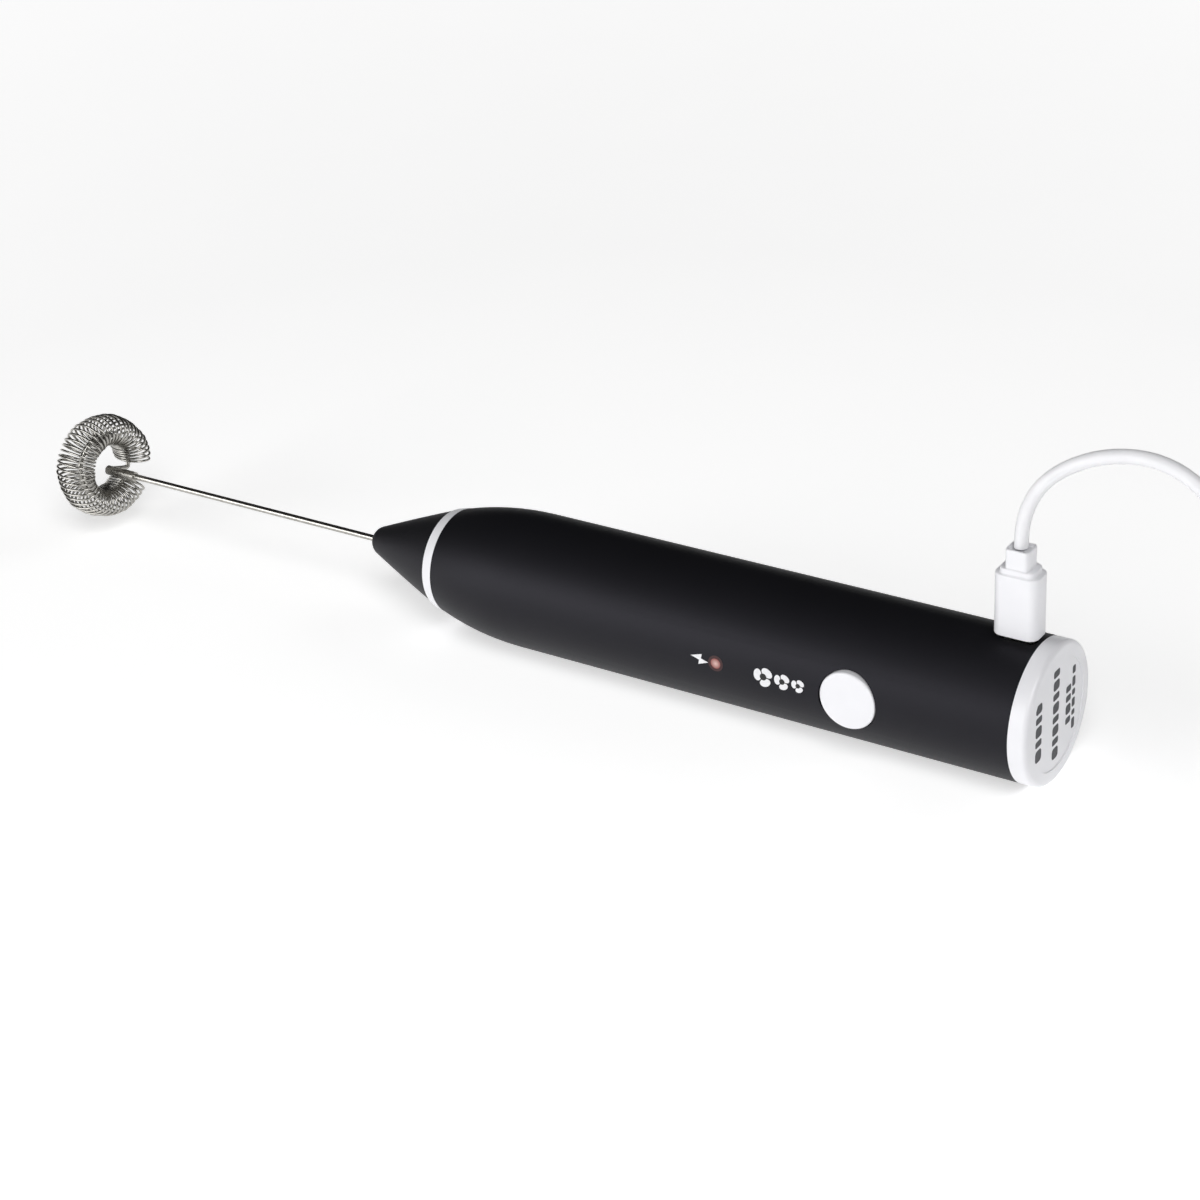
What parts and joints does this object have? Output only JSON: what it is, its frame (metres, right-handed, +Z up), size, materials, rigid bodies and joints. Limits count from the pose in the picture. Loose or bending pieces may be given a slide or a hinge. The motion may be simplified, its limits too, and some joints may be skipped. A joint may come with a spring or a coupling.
{
  "type": "milk frother",
  "caption": "Slim hand-held milk frother with a spring whisk on a thin wire shaft, a side push button and a white charging lead in its port.",
  "frame": {"origin": "on the surface under the middle of the frother as it lies on its side, charging lead not counted", "axes": "+X along the handle from the whisk to the end cap, -Y the way the button faces, +Z up, the way the charging port faces"},
  "size_m": [0.3795, 0.0451, 0.0773],
  "materials": {
    "soft_black": "soft-touch matt coating",
    "white_plastic": "moulded, satin gloss",
    "stainless_wire": "bright drawn stainless wire",
    "motor_steel": "zinc-plated steel",
    "motor_plastic": "natural nylon",
    "ferrite": "sintered ferrite",
    "bronze": "sintered bronze",
    "copper": "enamelled copper",
    "laminated_steel": "varnished laminations",
    "nylon": "moulded nylon",
    "seal_rubber": "moulded rubber",
    "frame_plastic": "moulded ABS",
    "cell_sleeve": "cell in a shrunk sleeve",
    "nickel": "nickel-plated",
    "foam": "closed-cell foam",
    "board_green": "glass-epoxy laminate",
    "chip_black": "moulded epoxy",
    "clear_plastic": "clear moulded lens",
    "screw_steel": "zinc-plated",
    "wire_red": "insulated wire",
    "lead_white": "soft white jacket",
    "tie_grey": "soft band"
  },
  "bodies": {
    "handle": {"handle_tube": "soft_black", "nose_cone": "soft_black", "accent_ring": "white_plastic", "end_cap": "white_plastic", "motor_can": "motor_steel", "motor_end_bell": "motor_plastic", "motor_magnets": "ferrite", "motor_front_bush": "bronze", "motor_rear_bush": "bronze", "motor_brushes": "copper", "motor_terminals": "nickel", "motor_mount": "frame_plastic", "motor_screws": "screw_steel", "nose_seal": "seal_rubber", "inner_frame": "frame_plastic", "battery_cell": "cell_sleeve", "battery_tabs": "nickel", "battery_pad": "foam", "circuit_board": "board_green", "board_screws": "screw_steel", "board_chips": "chip_black", "tact_switch": "chip_black", "status_led": "clear_plastic", "light_pipe": "clear_plastic", "usb_socket_shell": "nickel", "usb_socket_tongue": "chip_black", "motor_wires": "wire_red"},
    "rotor": {"motor_shaft": "screw_steel", "armature_core": "laminated_steel", "armature_windings": "copper", "commutator": "copper", "drive_coupling": "nylon"},
    "whisk": {"whisk_shaft": "stainless_wire", "whisk_collar": "stainless_wire", "whisk_hoop": "stainless_wire", "whisk_coil": "stainless_wire"},
    "power_button": {"power_button": "white_plastic"},
    "switch_plunger": {"switch_plunger": "chip_black"},
    "charge_plug": {"charge_plug_body": "white_plastic", "charge_plug_shell": "nickel", "charge_cable": "lead_white", "charge_cable_coil": "lead_white", "cable_tie": "tie_grey", "charge_cable_tail": "lead_white", "usb_a_body": "white_plastic", "usb_a_shell": "nickel", "usb_a_tongue": "white_plastic"}
  },
  "joints": [
    {"name": "rotor_spin", "type": "hinge", "parent": "handle", "child": "rotor", "pos_m": [0, 0, 0.0155], "axis": [1, 0, 0], "continuous": true},
    {"name": "whisk_pull_off", "type": "slide", "parent": "rotor", "child": "whisk", "axis": [-1, 0, 0], "range_m": [0, 0.026]},
    {"name": "power_button_press", "type": "slide", "parent": "handle", "child": "power_button", "axis": [0, 1, 0], "range_m": [0, 0.0006], "stiffness_N_per_m": 1500},
    {"name": "switch_plunger_press", "type": "slide", "parent": "handle", "child": "switch_plunger", "axis": [0, 1, 0], "range_m": [0, 0.0006], "stiffness_N_per_m": 300},
    {"name": "charge_plug_pull", "type": "slide", "parent": "handle", "child": "charge_plug", "axis": [0, 0, 1], "range_m": [0, 0.009]}
  ],
  "couplings": [
    {"joint": "switch_plunger_press", "follows": "power_button_press", "ratio": 1}
  ]
}
